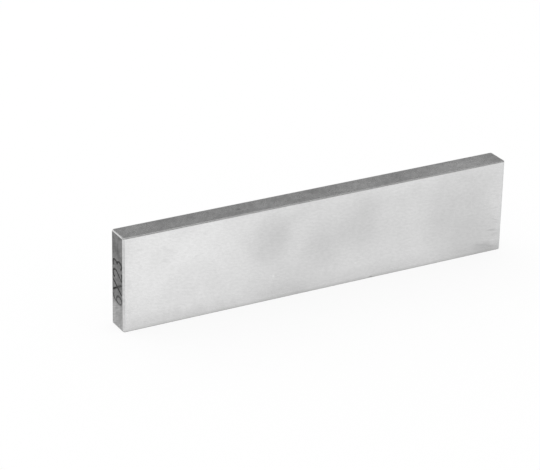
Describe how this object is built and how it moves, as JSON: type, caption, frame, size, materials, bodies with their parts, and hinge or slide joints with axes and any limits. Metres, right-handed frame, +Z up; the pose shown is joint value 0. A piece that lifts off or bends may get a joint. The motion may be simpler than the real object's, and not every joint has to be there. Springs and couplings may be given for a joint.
{
  "type": "precision parallel",
  "caption": "Hardened and ground steel bar with true opposite faces and broken edges, which lifts work to a known height in a vice or on a machine table.",
  "frame": {"origin": "middle of the narrow face that the bar stands on", "axes": "+X along the length, away from the end face with the size mark; +Y through the thickness; +Z up, towards the seat that carries the work"},
  "size_m": [0.1, 0.006, 0.023],
  "materials": {
    "ground_steel": "surface ground, with fine lines along the length"
  },
  "bodies": {
    "root": {"parallel_bar": "ground_steel"}
  },
  "joints": []
}
